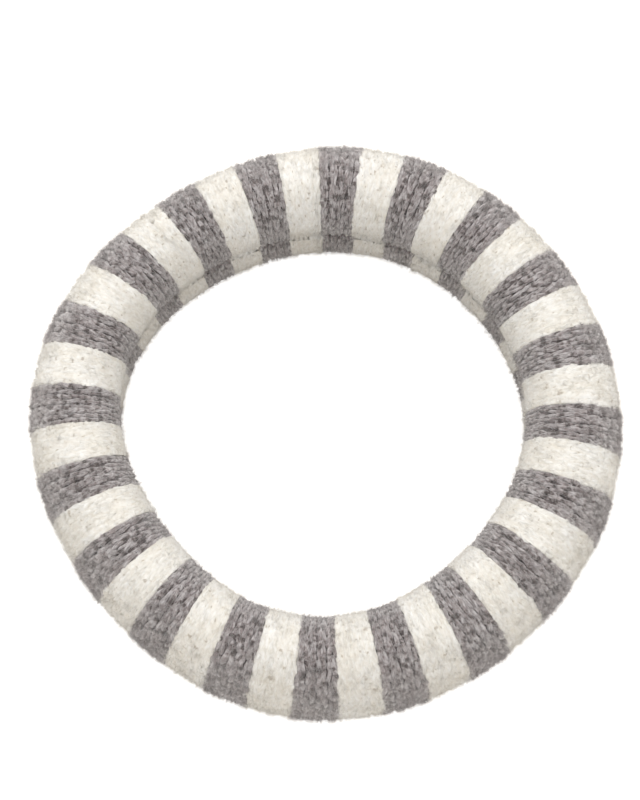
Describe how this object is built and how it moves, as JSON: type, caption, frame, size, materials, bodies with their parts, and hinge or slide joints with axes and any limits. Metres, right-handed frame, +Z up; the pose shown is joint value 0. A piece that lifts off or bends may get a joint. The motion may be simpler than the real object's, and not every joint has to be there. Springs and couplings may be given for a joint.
{
  "type": "neck gaiter",
  "caption": "Plump knitted neck gaiter in striped wool, a soft closed tube that is worn round the neck for warmth.",
  "frame": {"origin": "middle of the ring, on the surface that the gaiter lies on", "axes": "+Z up through the neck opening; the grafted join lies just to the -X side of +Y"},
  "size_m": [0.2708, 0.269, 0.076],
  "materials": {
    "grey_wool": "brushed woollen yarn, matt and hairy",
    "cream_wool": "brushed woollen yarn, matt and hairy",
    "seam_wool": "plied sewing yarn, matt",
    "fleece": "soft napped fleece, matt"
  },
  "bodies": {
    "root": {"fleece_core": "fleece", "grey_band_01": "grey_wool", "grey_band_02": "grey_wool", "grey_band_03": "grey_wool", "grey_band_04": "grey_wool", "grey_band_05": "grey_wool", "grey_band_06": "grey_wool", "grey_band_07": "grey_wool", "grey_band_08": "grey_wool", "grey_band_09": "grey_wool", "grey_band_10": "grey_wool", "grey_band_11": "grey_wool", "grey_band_12": "grey_wool", "grey_band_13": "grey_wool", "grey_band_14": "grey_wool", "grey_band_15": "grey_wool", "grey_band_16": "grey_wool", "grey_band_17": "grey_wool", "grey_band_18": "grey_wool", "grey_band_19": "grey_wool", "grey_band_20": "grey_wool", "cream_band_01": "cream_wool", "cream_band_02": "cream_wool", "cream_band_03": "cream_wool", "cream_band_04": "cream_wool", "cream_band_05": "cream_wool", "cream_band_06": "cream_wool", "cream_band_07": "cream_wool", "cream_band_08": "cream_wool", "cream_band_09": "cream_wool", "cream_band_10": "cream_wool", "cream_band_11": "cream_wool", "cream_band_12": "cream_wool", "cream_band_13": "cream_wool", "cream_band_14": "cream_wool", "cream_band_15": "cream_wool", "cream_band_16": "cream_wool", "cream_band_17": "cream_wool", "cream_band_18": "cream_wool", "cream_band_19": "cream_wool", "cream_band_20": "cream_wool", "graft_course": "cream_wool", "seam_yarn": "seam_wool"}
  },
  "joints": []
}
